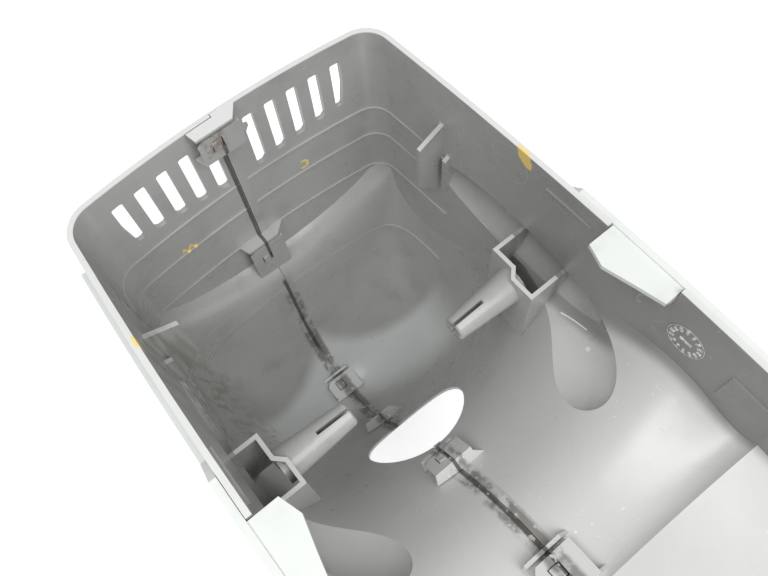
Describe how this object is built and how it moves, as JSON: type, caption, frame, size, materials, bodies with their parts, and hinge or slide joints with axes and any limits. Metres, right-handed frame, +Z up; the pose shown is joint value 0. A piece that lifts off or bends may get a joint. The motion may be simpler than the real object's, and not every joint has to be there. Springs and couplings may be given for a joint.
{
  "type": "injection moulded plastic housing",
  "caption": "Open-topped injection moulded housing in two dark snap-together shells, with end-wall vents, slotted towers on hat brackets, a round port in its sloping floor and pale side panels.",
  "frame": {"origin": "middle of the vented end wall's rim, on the joint plane between the two shells, in the plane of the rim", "axes": "+Z up out of the open top, square to the rim; +Y along the housing from its plain end to its vented end; +X to the right seen from the plain end"},
  "size_m": [0.148, 0.292, 0.2064],
  "materials": {
    "dark_plastic": "fine moulded texture, dusty",
    "pale_plastic": "satin"
  },
  "bodies": {
    "root": {"right_shell": "dark_plastic", "left_shell": "dark_plastic", "right_panel": "pale_plastic", "left_panel": "pale_plastic"}
  },
  "joints": []
}
